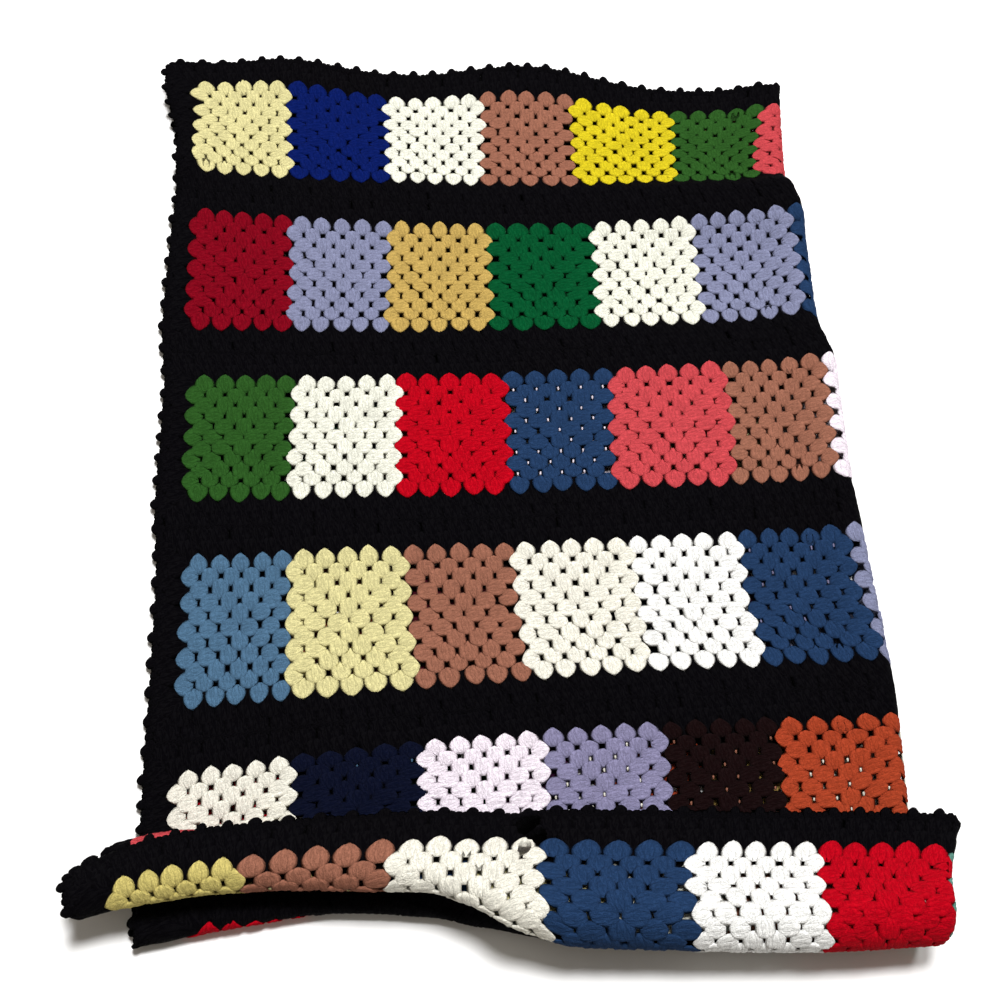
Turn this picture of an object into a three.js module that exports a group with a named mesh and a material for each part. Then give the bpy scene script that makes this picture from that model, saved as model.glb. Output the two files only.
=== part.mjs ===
// Granny square blanket: thirteen by six crocheted squares, set in black bands, folded in half
// along its length and then over once at the near end.
// Millimetres, +X to the right, +Y away from the near fold, +Z up. The origin is on the floor,
// under the middle of the folded blanket.
import * as THREE from "three";

// ---- driving dimensions of the flat blanket ------------------------------------------------
const SHELL_X = 25;                    // one shell of three stitches, across the blanket
const SHELL_Y = 27.2;                  // the same shell along the blanket, as it lies stretched
const COLUMNS = 13;
const STRIPS = 6;
const COLUMN = 5.14 * SHELL_X;         // one square, its side teeth sharing the next one's gaps
const SQUARE_LENGTH = 5.5 * SHELL_Y;
const SIDE_BAND = 1.15 * SHELL_X;      // two black rounds beside the outer squares
const BAND = 1.15 * SHELL_Y;           // two black rounds at each long side of a strip
const STRIP = SQUARE_LENGTH + 2 * BAND;
const WIDTH = COLUMNS * COLUMN + 2 * SIDE_BAND;
const LENGTH = STRIPS * STRIP;

// ---- thickness and clearances ---------------------------------------------------------------
const THICK = 4.5;                     // a crocheted layer of medium yarn
const LAYERS_APART = 7;                // middle of one layer to middle of the next
const PARTING = 0.3;                   // between two strips, and between cloth and edging
const RIDGE = 1.6;                     // the joining row stands up along each parting
const RIDGE_HALF = 3.5;

// ---- the fold that halves the blanket, along its right side ------------------------------------
const FOLD_ROUND = 9.5;                // radius of the long fold, from the floor up
const FOLD_SWELL = 60;                 // the top layer lifts over this width towards the fold
const RIM_REACH = 0.15;                // the two open rims differ over this share of the width

// How the top layer lies: distances from the floor's zero line, at the squares' far and near
// edges in each strip. left, mid and right are Y; rim and fold are X of the two sides.
const LIE = [
  { strip: 0, edge: "far", left: 971, mid: 954, right: 922, rim: -438, fold: 370 },
  { strip: 0, edge: "near", left: 839, mid: 817, right: 822, rim: -412, fold: 366 },
  { strip: 1, edge: "far", left: 767, mid: 750, right: 772, rim: -412, fold: 382 },
  { strip: 1, edge: "near", left: 608, mid: 608, right: 629, rim: -408, fold: 386 },
  { strip: 2, edge: "far", left: 537, mid: 545, right: 566, rim: -397, fold: 402 },
  { strip: 2, edge: "near", left: 384, mid: 399, right: 415, rim: -390, fold: 404 },
  { strip: 3, edge: "far", left: 313, mid: 336, right: 352, rim: -381, fold: 409 },
  { strip: 3, edge: "near", left: 147, mid: 187, right: 206, rim: -371, fold: 419 },
  { strip: 4, edge: "far", left: 75, mid: 126, right: 145, rim: -368, fold: 421 },
];
const LIE_X = { left: -380, mid: 10, right: 400 };
const FAR_EDGE = { left: 1002, mid: 990, right: 950, rim: -440, fold: 372 };
const FAR_WAVE = { height: 9, crest: 40, length: 340, fade: 150 };

// Sides of the turned end, where the open rims shift sideways and the long fold is pressed to a
// smaller radius.
const TURNED = [
  { along: 1029, rim: -360, outerRim: -361, fold: 419, round: 7 },
  { along: 1100, rim: -360, outerRim: -360, fold: 421, round: 6.5 },
  { along: 1150, rim: -376, outerRim: -386, fold: 425, round: 6 },
  { along: 1200, rim: -390, outerRim: -408, fold: 432, round: 5.5 },
  { along: 1273, rim: -396, outerRim: -417, fold: 460, round: 5 },
];

// The near end, as sections across the blanket. The cloth runs along the floor to `line`, turns
// up by `low` degrees over `lowArc`, goes `back`, turns the other way by `crease`, comes `forward`,
// turns over by `crest` and lies back for `top`, drooping by `droop`. The inner layer ends `short`
// of the outer one. At the right it is all one open roll.
const SECTIONS = [
  { x: -410, line: -78, low: 176, lowArc: 36, back: 71, crease: -178, creaseArc: 14, forward: 31, crest: 208, crestArc: 60, top: 22, droop: 8, short: 12 },
  { x: -340, line: -68, low: 176, lowArc: 36, back: 78, crease: -178, creaseArc: 14, forward: 31, crest: 204, crestArc: 67, top: 30, droop: 8, short: 16 },
  { x: -280, line: -57, low: 176, lowArc: 36, back: 71, crease: -178, creaseArc: 14, forward: 25, crest: 201, crestArc: 70, top: 31, droop: 10, short: 18 },
  { x: -150, line: -40, low: 172, lowArc: 36, back: 52, crease: -172, creaseArc: 14, forward: 19, crest: 198, crestArc: 69, top: 42, droop: 22, short: 24 },
  { x: -70, line: -43, low: 164, lowArc: 36, back: 48, crease: -158, creaseArc: 14, forward: 14, crest: 200, crestArc: 61, top: 54, droop: 20, short: 22 },
  { x: -20, line: -51, low: 158, lowArc: 36, back: 37, crease: -146, creaseArc: 14, forward: 11, crest: 194, crestArc: 54, top: 74, droop: 18, short: 16 },
  { x: 30, line: -54, low: 118, lowArc: 38, back: 14, crease: -50, creaseArc: 12, forward: 8, crest: 154, crestArc: 60, top: 92, droop: 0, short: 14 },
  { x: 75, line: -54, low: 96, lowArc: 45, back: 8, crease: -8, creaseArc: 9, forward: 8, crest: 132, crestArc: 70, top: 82, droop: -14, short: 14 },
  { x: 300, line: -56, low: 90, lowArc: 44, back: 6, crease: 0, creaseArc: 8, forward: 6, crest: 139, crestArc: 70, top: 88, droop: -26, short: 14 },
  { x: 450, line: -50, low: 90, lowArc: 42, back: 5, crease: 0, creaseArc: 8, forward: 5, crest: 130, crestArc: 65, top: 74, droop: -22, short: 12 },
];

// Soft rumples of the top layer: where each stands, how far it reaches and how high.
const RUMPLES = [
  { x: 300, y: 800, reachX: 150, farY: 16, nearY: 60, height: 22 },
  { x: -440, y: 985, reachX: 60, farY: 60, nearY: 90, height: 20 },
  { x: -420, y: 850, reachX: 30, farY: 30, nearY: 30, height: 14 },
  { x: -290, y: 1000, reachX: 70, farY: 40, nearY: 60, height: 7 },
  { x: 40, y: 1000, reachX: 90, farY: 40, nearY: 70, height: 7 },
  { x: -120, y: 800, reachX: 190, farY: 30, nearY: 40, height: 5 },
  { x: 120, y: 590, reachX: 240, farY: 30, nearY: 40, height: 4 },
  { x: -200, y: 350, reachX: 200, farY: 40, nearY: 40, height: 4 },
  { x: 200, y: 175, reachX: 230, farY: 30, nearY: 45, height: 5 },
];

// ---- picot edging ---------------------------------------------------------------------------
const PICOT = { depth: 8.5, root: 3.2, thick: 3.4, pitch: 25, parting: 0.4, turn: 1.8, snap: 4, bend: 1 };

// ---- how finely the solids are cut -----------------------------------------------------------
const FACETS = {
  rim: 4, changeFrom: 0.27, change: 8, changeTo: 0.6, side: 3, round: 5, main: 4,
  bend: [0, 0.25, 0.5, 0.75, 1], crease: 4, crest: 6, sliver: 0.02,
};

const BLACK = "#0b0b10";
const radians = THREE.MathUtils.degToRad;
const lerp = THREE.MathUtils.lerp;
const clamp01 = (t) => THREE.MathUtils.clamp(t, 0, 1);
const ease = (t) => THREE.MathUtils.smoothstep(t, 0, 1);

// Smooth curve through a table's rows that never overshoots them.
function through(rows, key, value) {
  const step = rows.slice(1).map((row, i) => row[key] - rows[i][key]);
  const name = Object.keys(rows[0]).filter((each) => typeof rows[0][each] === "number" && each !== key);
  const slopes = {};
  for (const column of name) {
    const rise = step.map((length, i) => (rows[i + 1][column] - rows[i][column]) / length);
    slopes[column] = rows.map((_, i) => {
      if (i === 0) return rise[0];
      if (i === rows.length - 1) return rise[i - 1];
      const [before, after] = [rise[i - 1], rise[i]];
      return before * after > 0 ? (2 * before * after) / (before + after) : 0;
    });
  }
  let i = rows.findIndex((row) => row[key] > value) - 1;
  if (i === -2) i = rows.length - 2;
  i = Math.max(i, 0);
  const t = (value - rows[i][key]) / step[i];
  const out = {};
  for (const column of name) {
    const [a, b] = [rows[i][column], rows[i + 1][column]];
    const [slopeA, slopeB] = [slopes[column][i] * step[i], slopes[column][i + 1] * step[i]];
    if (t < 0) out[column] = a + slopeA * t;
    else if (t > 1) out[column] = b + slopeB * (t - 1);
    else {
      const [t2, t3] = [t * t, t * t * t];
      out[column] = a * (2 * t3 - 3 * t2 + 1) + slopeA * (t3 - 2 * t2 + t) + b * (3 * t2 - 2 * t3) + slopeB * (t3 - t2);
    }
  }
  return out;
}

const lieRows = [
  { along: 0, ...FAR_EDGE },
  ...LIE.map(({ strip, edge, ...place }) => ({
    along: strip * STRIP + BAND + (edge === "near" ? SQUARE_LENGTH : 0),
    ...place,
  })),
];
const sideRows = [
  ...lieRows.map(({ along, rim, fold }) => ({ along, rim, outerRim: rim + 2, fold, round: FOLD_ROUND })),
  ...TURNED,
];
const LAST_LIE = lieRows[lieRows.length - 1].along;

// Y of the top layer at a place along and across the blanket.
function topLayerY(along, x) {
  const { left, mid, right } = through(lieRows, "along", along);
  const t = (x - LIE_X.left) / (LIE_X.right - LIE_X.left);
  const bow = mid - (left + right) / 2;
  const wave = FAR_WAVE.height * Math.cos((2 * Math.PI * (x - FAR_WAVE.crest)) / FAR_WAVE.length);
  return lerp(left, right, t) + 4 * bow * t * (1 - t) + wave * ease(1 - along / FAR_WAVE.fade);
}

// The pieces of the near fold for a layer that runs `inside` the outer one.
function foldPieces(x, inside) {
  const s = through(SECTIONS, "x", x);
  const bend = (degrees, arc) => ({ turn: radians(degrees), length: arc - inside * radians(degrees) });
  const straight = (length) => ({ turn: 0, length });
  const pieces = [
    bend(s.low, s.lowArc),
    straight(s.back),
    bend(s.crease, s.creaseArc),
    straight(s.forward),
    bend(s.crest, s.crestArc),
    bend(s.droop, s.top),
  ];
  return { line: s.line, short: s.short, pieces, length: pieces.reduce((sum, piece) => sum + piece.length, 0) };
}

// Walks that section for a distance past the fold line and gives Y and Z there.
function walkFold({ line, pieces }, inside, distance) {
  let y = line;
  let z = THICK / 2 + inside;
  let heading = 0;
  let left = distance;
  if (left <= 0) return { y: y - left, z };
  for (const [i, { turn, length }] of pieces.entries()) {
    const go = i === pieces.length - 1 ? left : Math.min(left, length);
    const swept = (turn * go) / length;
    const chord = Math.abs(swept) < 1e-6 ? go : (go * Math.sin(swept / 2)) / (swept / 2);
    y -= chord * Math.cos(heading + swept / 2);
    z += chord * Math.sin(heading + swept / 2);
    heading += swept;
    left -= go;
    if (left <= 0) break;
  }
  return { y, z };
}

// Distance of a place past the fold line, in the outer and in the inner layer.
function outerDistance(along, x, fold) {
  const kept = fold.length - (LENGTH - Math.max(along, LAST_LIE));
  if (along >= LAST_LIE) return kept;
  const farY = topLayerY(0, x) - 5;
  const nearY = fold.line - kept;
  return fold.line - lerp(farY, nearY, along / LAST_LIE);
}

function innerDistance(along, x, fold) {
  if (along <= LAST_LIE) return fold.line - topLayerY(along, x);
  const from = fold.line - topLayerY(LAST_LIE, x);
  return lerp(from, fold.length - fold.short, (along - LAST_LIE) / (LENGTH - LAST_LIE));
}

function rumple(x, y) {
  return RUMPLES.reduce((sum, r) => {
    const reachY = y > r.y ? r.farY : r.nearY;
    return sum + r.height * Math.exp(-(((x - r.x) / r.reachX) ** 2) - ((y - r.y) / reachY) ** 2);
  }, 0);
}

// `across` runs 0 to 1 over the top layer from its open rim, 1 to 2 round the long fold and 2 to
// 3 over the under layer to its open rim. This gives X there, the share of the top layer (1)
// against the under layer (0), and how far apart the two layers are.
function placeAcross(across, along) {
  const sides = through(sideRows, "along", along);
  const { round } = sides;
  const centre = sides.fold - round;
  const swollen = (x) => lerp(LAYERS_APART, 2 * round, ease(1 - (centre - x) / FOLD_SWELL));
  if (across > 1 && across < 2) {
    const angle = (across - 1) * Math.PI;
    return { x: centre + round * Math.sin(angle), share: (1 + Math.cos(angle)) / 2, apart: 2 * round };
  }
  const top = across <= 1;
  const t = top ? across : 3 - across;
  const rimShift = (sides.rim - sides.outerRim) * (1 - t / RIM_REACH);
  const x = lerp(sides.outerRim, centre, t) + (top && t < RIM_REACH ? rimShift : 0);
  return { x, share: top ? 1 : 0, apart: swollen(x) };
}

// The middle of the cloth at a place across it and `along` it, from 0 at the far edge to LENGTH
// at the edge of the turned end.
function cloth(across, along) {
  const { x, share, apart } = placeAcross(across, along);
  const outer = outerDistance(along, x, foldPieces(x, 0));
  const inner = innerDistance(along, x, foldPieces(x, apart));
  const distance = lerp(outer, inner, share);
  const inside = apart * share;
  const { y, z } = walkFold(foldPieces(x, inside), inside, distance);
  const lift = share * rumple(x, y) * ease(-distance / 60);
  return new THREE.Vector3(x, y, z + lift);
}

// How far along the cloth a step of the near fold lies: 0 at the fold line, 1 after its first
// piece and so on, and negative, one for each 100 mm, before the line.
function alongOfStep(across, step) {
  let along = LAST_LIE + 200;
  for (let pass = 0; pass < 8; pass++) {
    const { x, share, apart } = placeAcross(across, along);
    const inside = apart * share;
    const fold = foldPieces(x, inside);
    const whole = Math.floor(Math.max(step, 0));
    const before = fold.pieces.slice(0, whole).reduce((sum, piece) => sum + piece.length, 0);
    const part = step < 0 ? 100 * step : (step - whole) * (fold.pieces[whole]?.length ?? 0);
    const outerFold = foldPieces(x, 0);
    const innerFold = foldPieces(x, apart);
    const at = (place) => lerp(outerDistance(place, x, outerFold), innerDistance(place, x, innerFold), share);
    const slope = (at(along + 1) - at(along - 1)) / 2;
    along += (before + part - at(along)) / slope;
  }
  return along;
}

function stepOfAlong(across, along) {
  const { x, share, apart } = placeAcross(across, along);
  const outer = outerDistance(along, x, foldPieces(x, 0));
  const inner = innerDistance(along, x, foldPieces(x, apart));
  const fold = foldPieces(x, apart * share);
  let left = lerp(outer, inner, share);
  if (left <= 0) return left / 100;
  for (const [i, { length }] of fold.pieces.entries()) {
    if (left <= length) return i + left / length;
    left -= length;
  }
  return fold.pieces.length;
}

// Outward unit normal of the cloth: up on the top layer, down on the under layer.
function clothNormal(across, along) {
  const d = 1.5;
  const share = d / (across > 1 && across < 2 ? Math.PI * FOLD_ROUND : WIDTH / 2);
  const alongAcross = cloth(across + share, along).sub(cloth(across - share, along));
  const alongLength = cloth(across, along + d).sub(cloth(across, along - d));
  return alongLength.cross(alongAcross).normalize();
}

// The joining row stands up where the cloth does not lie face down.
function ridge(across, along, normal) {
  const fromParting = Math.abs(along - STRIP * Math.round(along / STRIP));
  const between = along > RIDGE_HALF && along < LENGTH - RIDGE_HALF;
  const tucked = across < 1.5 && along > LAST_LIE + BAND;
  return between && !tucked ? RIDGE * clamp01(1 - fromParting / RIDGE_HALF) * clamp01(2 * normal.z + 0.5) : 0;
}

const spread = (from, to, count) => Array.from({ length: count + 1 }, (_, i) => lerp(from, to, i / count));

// Places across the cloth where the solids have an edge, at like places in both layers, and
// closer where the near fold changes from a pleat to a roll.
function acrossStations() {
  const { rim, changeFrom, change, changeTo, side, round } = FACETS;
  const swell = 1 - (2 * FOLD_SWELL) / WIDTH;
  const top = [
    ...spread(0, changeFrom, rim),
    ...spread(changeFrom, changeTo, change).slice(1),
    ...spread(changeTo, swell, side).slice(1),
    ...spread(swell, 1, 2).slice(1),
  ];
  return [...top, ...spread(1, 2, round).slice(1, -1), ...top.map((across) => 3 - across).reverse()];
}

// The rows of a strip's solid: how far along the cloth each one runs at a place across it.
function alongStations(strip, across) {
  const from = strip * STRIP + (strip > 0 ? PARTING / 2 : 0);
  const to = (strip + 1) * STRIP - (strip < STRIPS - 1 ? PARTING / 2 : 0);
  if (strip < STRIPS - 2) {
    const flat = spread(strip > 0 ? from + RIDGE_HALF : from, to - RIDGE_HALF, FACETS.main);
    return [...(strip > 0 ? [from] : []), ...flat, to];
  }
  const at = (step) => alongOfStep(across, step);
  const start = stepOfAlong(across, from + RIDGE_HALF);
  const head = [from, from + RIDGE_HALF];
  const { bend, crease, crest, sliver } = FACETS;
  if (strip === STRIPS - 2) {
    const end = stepOfAlong(across, to - RIDGE_HALF);
    const turning = bend.map((step, k) => Math.min(step, end - sliver * (bend.length - k)));
    const flat = spread(start, turning[0], 3).slice(1, -1);
    return [...head, ...[...flat, ...turning].map(at), to - RIDGE_HALF, to];
  }
  const turning = [...bend.slice(1), 1.5, 2].map((step, k) => Math.max(step, start + sliver * (k + 1)));
  const over = [...spread(2, 3, crease).slice(1), ...spread(4, 5, crest)];
  return [...head, ...[...turning, ...over].map(at), (at(5) + to) / 2, to];
}

function meshOf(name, positions, triangles) {
  const geometry = new THREE.BufferGeometry();
  geometry.setAttribute("position", new THREE.Float32BufferAttribute(positions.flatMap((p) => p.toArray()), 3));
  geometry.setIndex(triangles.flat());
  geometry.computeVertexNormals();
  const mesh = new THREE.Mesh(geometry, new THREE.MeshStandardMaterial({ color: BLACK, roughness: 0.95, metalness: 0 }));
  mesh.name = name;
  return mesh;
}

// One strip of squares as a closed sheet: its outer face, its inner face and its four rims.
function stripSolid(strip) {
  const columns = acrossStations().map((across) =>
    alongStations(strip, across).map((along) => {
      const middle = cloth(across, along);
      const normal = clothNormal(across, along);
      return {
        outer: middle.clone().addScaledVector(normal, THICK / 2 + ridge(across, along, normal)),
        inner: middle.clone().addScaledVector(normal, -THICK / 2),
      };
    })
  );
  const rows = columns[0].map((_, i) => columns.map((column) => column[i]));
  const [m, n] = [rows.length, rows[0].length];
  const positions = [...rows.flat().map((p) => p.outer), ...rows.flat().map((p) => p.inner)];
  const outer = (i, j) => i * n + j;
  const inner = (i, j) => m * n + i * n + j;
  const triangles = [];
  const quad = (a, b, c, d) => triangles.push([a, b, c], [a, c, d]);
  const otherQuad = (a, b, c, d) => quad(b, c, d, a);
  for (let i = 0; i < m - 1; i++) {
    for (let j = 0; j < n - 1; j++) {
      const [face, back] = j < n / 2 ? [quad, otherQuad] : [otherQuad, quad];
      face(outer(i, j), outer(i + 1, j), outer(i + 1, j + 1), outer(i, j + 1));
      back(inner(i, j), inner(i, j + 1), inner(i + 1, j + 1), inner(i + 1, j));
    }
    quad(outer(i, 0), inner(i, 0), inner(i + 1, 0), outer(i + 1, 0));
    quad(outer(i, n - 1), outer(i + 1, n - 1), inner(i + 1, n - 1), inner(i, n - 1));
  }
  for (let j = 0; j < n - 1; j++) {
    quad(outer(0, j), outer(0, j + 1), inner(0, j + 1), inner(0, j));
    quad(outer(m - 1, j), inner(m - 1, j), inner(m - 1, j + 1), outer(m - 1, j + 1));
  }
  return { mesh: meshOf(`strip_${strip + 1}`, positions, triangles), rows };
}

// The four rims of the cloth in order round it, as points in the middle of its thickness with
// the ways up and outward there.
function rims(strips) {
  const middleOf = ({ outer, inner }) => outer.clone().add(inner).multiplyScalar(0.5);
  const rimPoint = (point, inward) => {
    const up = point.outer.clone().sub(point.inner).normalize();
    const out = middleOf(point).sub(middleOf(inward)).projectOnPlane(up).normalize();
    return { place: middleOf(point), up, out };
  };
  const end = (row, inward) => row.map((point, j) => rimPoint(point, inward[j]));
  const far = end(strips[0].rows[0], strips[0].rows[1]);
  const near = end(strips[STRIPS - 1].rows.at(-1), strips[STRIPS - 1].rows.at(-2));
  const side = (at, inward) => strips.flatMap(({ rows }) => rows.map((row) => rimPoint(row.at(at), row.at(inward))));
  return [far, side(-1, -2), near.reverse(), side(0, 1).reverse()];
}

// A place on a rim at a distance from its start, and the clearance there: more where it twists.
function onRim(rim, starts, distance) {
  const from = starts.findIndex((start) => start > distance + 1e-6) - 1;
  const i = from < 0 ? rim.length - 2 : from;
  const t = (distance - starts[i]) / (starts[i + 1] - starts[i]);
  const mix = (key) => rim[i][key].clone().lerp(rim[i + 1][key], t);
  const turn = Math.max(...[i - 1, i, i + 1].map((k) => (rim[k] && rim[k + 1] ? rim[k].up.angleTo(rim[k + 1].up) : 0)));
  return { place: mix("place"), up: mix("up").normalize(), out: mix("out").normalize(), clear: PICOT.parting + PICOT.turn * turn };
}

// Distances along a rim where the edging has an edge: its picots, and where the rim bends.
function edgingStops(rim, starts, half) {
  const bends = starts.filter((_, i) => {
    if (i === 0 || i === rim.length - 1) return false;
    const before = rim[i].place.clone().sub(rim[i - 1].place);
    const turn = before.angleTo(rim[i + 1].place.clone().sub(rim[i].place));
    const twist = rim[i].up.angleTo(rim[i - 1].up) + rim[i].up.angleTo(rim[i + 1].up);
    return Math.max(turn, twist) > radians(PICOT.bend);
  });
  const total = starts.at(-1);
  const peaks = spread(0, total, Math.round(total / half)).slice(1, -1);
  const clear = peaks.filter((peak) => bends.every((bend) => Math.abs(bend - peak) > PICOT.snap));
  return [...bends, ...clear].sort((p, q) => p - q);
}

// A narrow band all round the rim, with one small picot for each shell and one on each corner.
function picotEdging(strips) {
  const stations = [];
  for (const rim of rims(strips)) {
    const starts = [0];
    for (let i = 1; i < rim.length; i++) {
      starts.push(starts[i - 1] + rim[i].place.distanceTo(rim[i - 1].place));
    }
    const total = starts.at(-1);
    const half = total / (2 * Math.round(total / PICOT.pitch));
    for (const stop of edgingStops(rim, starts, half)) {
      const wave = Math.abs(((stop / half) % 2) - 1);
      stations.push({ ...onRim(rim, starts, stop), depth: lerp(PICOT.root, PICOT.depth, wave) });
    }
    stations.push({ ...onRim(rim, starts, total), depth: PICOT.depth, corner: true });
  }
  for (const [i, station] of stations.entries()) {
    if (station.corner) {
      const next = stations[(i + 1) % stations.length];
      station.out.add(next.out).normalize().multiplyScalar(Math.SQRT2);
    }
  }
  const half = PICOT.thick / 2;
  const positions = stations.flatMap(({ place, up, out, depth, clear }) => {
    const root = place.clone().addScaledVector(out, clear);
    const tip = place.clone().addScaledVector(out, clear + depth);
    return [root, tip].flatMap((p) => [p.clone().addScaledVector(up, half), p.clone().addScaledVector(up, -half)]);
  });
  const triangles = [];
  const ring = [0, 1, 3, 2];
  stations.forEach((_, i) => {
    const [a, b] = [4 * i, 4 * ((i + 1) % stations.length)];
    ring.forEach((corner, k) => {
      const after = ring[(k + 1) % 4];
      triangles.push([a + corner, b + after, b + corner], [a + corner, a + after, b + after]);
    });
  });
  return meshOf("picot_edging", positions, triangles);
}

const strips = Array.from({ length: STRIPS }, (_, strip) => stripSolid(strip));
const blanket = new THREE.Group();
for (const { mesh } of strips) blanket.add(mesh);
blanket.add(picotEdging(strips));

const box = new THREE.Box3().setFromObject(blanket);
const middle = box.getCenter(new THREE.Vector3());
blanket.position.set(-middle.x, -middle.y, -box.min.z);

export default blanket;
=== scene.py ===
"""Granny square blanket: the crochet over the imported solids.

Tables and a walk, in millimetres, give the middle of the folded cloth. They are the same ones that
the solids were made from. Every shell of three stitches is a small closed pad laid on that cloth,
with three ridges for its posts and a higher row near its tip for its loops.
"""

import math

import bpy
import numpy as np
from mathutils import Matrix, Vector


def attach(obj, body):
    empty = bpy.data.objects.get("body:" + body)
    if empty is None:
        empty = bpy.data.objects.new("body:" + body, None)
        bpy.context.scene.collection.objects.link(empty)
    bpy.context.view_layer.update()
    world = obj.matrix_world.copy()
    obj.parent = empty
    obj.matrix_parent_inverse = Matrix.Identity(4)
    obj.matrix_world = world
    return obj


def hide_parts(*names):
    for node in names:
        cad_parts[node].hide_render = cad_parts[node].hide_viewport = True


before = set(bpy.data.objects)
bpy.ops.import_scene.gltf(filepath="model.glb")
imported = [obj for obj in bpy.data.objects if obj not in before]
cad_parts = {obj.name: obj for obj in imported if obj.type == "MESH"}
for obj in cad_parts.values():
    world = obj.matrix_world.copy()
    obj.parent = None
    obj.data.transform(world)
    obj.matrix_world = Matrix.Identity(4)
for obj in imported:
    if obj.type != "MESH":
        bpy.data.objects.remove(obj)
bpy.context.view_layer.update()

# ---- the flat blanket, in millimetres: u runs across it and v along it --------------------------
SHELL_X, SHELL_Y = 25.0, 27.2
ROUNDS = 5                                     # rounds of shells in a square
COLUMNS = 13                                   # squares in a strip
STRIPS = sum(node.startswith("strip_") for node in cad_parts)
COLUMN = 5.14 * SHELL_X
SQUARE_LENGTH = 5.5 * SHELL_Y
SIDE_BAND = 1.15 * SHELL_X
BAND = 1.15 * SHELL_Y
STRIP = SQUARE_LENGTH + 2 * BAND
WIDTH = COLUMNS * COLUMN + 2 * SIDE_BAND
LENGTH = STRIPS * STRIP
PITCH_U, PITCH_V = COLUMN / ROUNDS, SHELL_Y    # from one shell to the next
BEAD_PITCH = 6.4                               # from one small stitch to the next

THICK, LAYERS_APART = 4.5, 7.0
FOLD_ROUND, FOLD_SWELL = 9.5, 60.0             # the long fold's radius, and how far in it swells
RIM_REACH = 0.15                               # the share of the top layer that moves with its rim
RIM_STEP, FAR_EDGE_STEP = 2.0, 5.0             # the under layer's rim and far edge are this far in
RUMPLE_FADE = 60.0                             # rumples die away this far before the turned end

# How much of the flat width is on the top layer: six squares and a little on most of the blanket,
# and half the width and a little on the turned end. The change is between the two places along.
TOP_WIDTH = SIDE_BAND + 6 * COLUMN + 5
OVER_WIDTH = WIDTH / 2 + 40
TURN_FROM, TURN_TO = 1000.0, 1130.0

# How far the stitches have slipped across the blanket, at the edges of the 13 columns and at the
# open rim of the under layer.
SLIPS = [  # along, then the slips
    (0, 0, 0, 0, 0, 0, 0, 0, 0, 0, 0, 0, 0, 0, 0, 0),
    (68, 10, -10, 4, -5, -3, -5, -10, 0, 0, 0, 0, 0, 0, 0, 0),
    (143, -12, -18, -4, -12, -6, -6, -20, 0, 0, 0, 0, 0, 0, 0, 0),
    (318, 0, 0, -4, -12, 5, -4, -4, 0, 0, 0, 0, 0, 0, 0, 0),
    (530, 3, -3, -11, -8, -2, 7, -7, 0, 0, 0, 0, 0, 0, 0, 0),
    (742, 3, -8, -8, -4, -4, -7, -11, 0, 0, 0, 0, 0, 0, 0, 0),
    (900, 2, -7, 11, 10, 13, 17, 24, 0, 0, 0, 0, 0, 0, 0, 0),
    (1010, 2, -7, 11, 10, 13, 17, 20, 0, 0, 0, 0, -14, -32, -44, -6),
    (1045, 0, 0, 0, 0, 0, 0, 0, 0, 0, 0, 0, -14, -32, -44, -6),
    (1110, 0, 0, 0, 0, 0, 0, 0, -9, -19, -32, -12, -11, 4, -24, -16),
    (1200, 0, 0, 0, 0, 0, 0, 0, -9, -19, -32, -12, -11, 4, -20, -14),
    (1273, 0, 0, 0, 0, 0, 0, 0, -9, -19, -32, -12, -11, 4, -8, 0),
]
SLIP_AT = [0] + [SIDE_BAND + column * COLUMN for column in range(COLUMNS + 1)] + [WIDTH]
# And how far they have slipped towards the near end, on the left, in the middle and on the right.
CREEPS = [
    (0, 0, 0, 0),
    (181, 0, 2, -5),
    (243, -9, -4, 0),
    (393, -2, 2, 2),
    (455, -3, 1, -1),
    (605, -1, 3, 2),
    (667, -1, 5, 2),
    (817, 3, 8, 5),
    (880, 2, 6, 7),
    (1029, 0, 0, 0),
]
CREEP_FADE = 0.3   # past the long fold that creep dies away, in widths of the top layer
# The under layer has sagged towards the near end at its open side.
SAG, SAG_ALONG, SAG_REACH, SAG_FROM, SAG_FULL = 25.0, 1040.0, 60.0, 1310.0, 1450.0

# ---- where the folded cloth lies ------------------------------------------------------------------
# The edges of the squares on the top layer: how far back they are on the left, in the middle and on
# the right, and where the open rim and the long fold are there.
LIE = [  # strip, edge, left, mid, right, rim, fold
    (0, "far", 971, 954, 922, -438, 370),
    (0, "near", 839, 817, 822, -412, 366),
    (1, "far", 767, 750, 772, -412, 382),
    (1, "near", 608, 608, 629, -408, 386),
    (2, "far", 537, 545, 566, -397, 402),
    (2, "near", 384, 399, 415, -390, 404),
    (3, "far", 313, 336, 352, -381, 409),
    (3, "near", 147, 187, 206, -371, 419),
    (4, "far", 75, 126, 145, -368, 421),
]
FAR_EDGE = (1002, 990, 950, -440, 372)          # and the same for the far edge of the blanket
LIE_LEFT, LIE_RIGHT = -380.0, 400.0             # x of the left and the right
# The far edge is wavy, and the waves die away within the first row.
WAVE_HEIGHT, WAVE_CREST, WAVE_LENGTH, WAVE_FADE = 9.0, 40.0, 340.0, 150.0
# The sides of the turned end, and the radius of the long fold there.
TURNED = [  # along, rim, outer rim, fold, round
    (1029, -360, -361, 419, 7),
    (1100, -360, -360, 421, 6.5),
    (1150, -376, -386, 425, 6),
    (1200, -390, -408, 432, 5.5),
    (1273, -396, -417, 460, 5),
]
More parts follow.
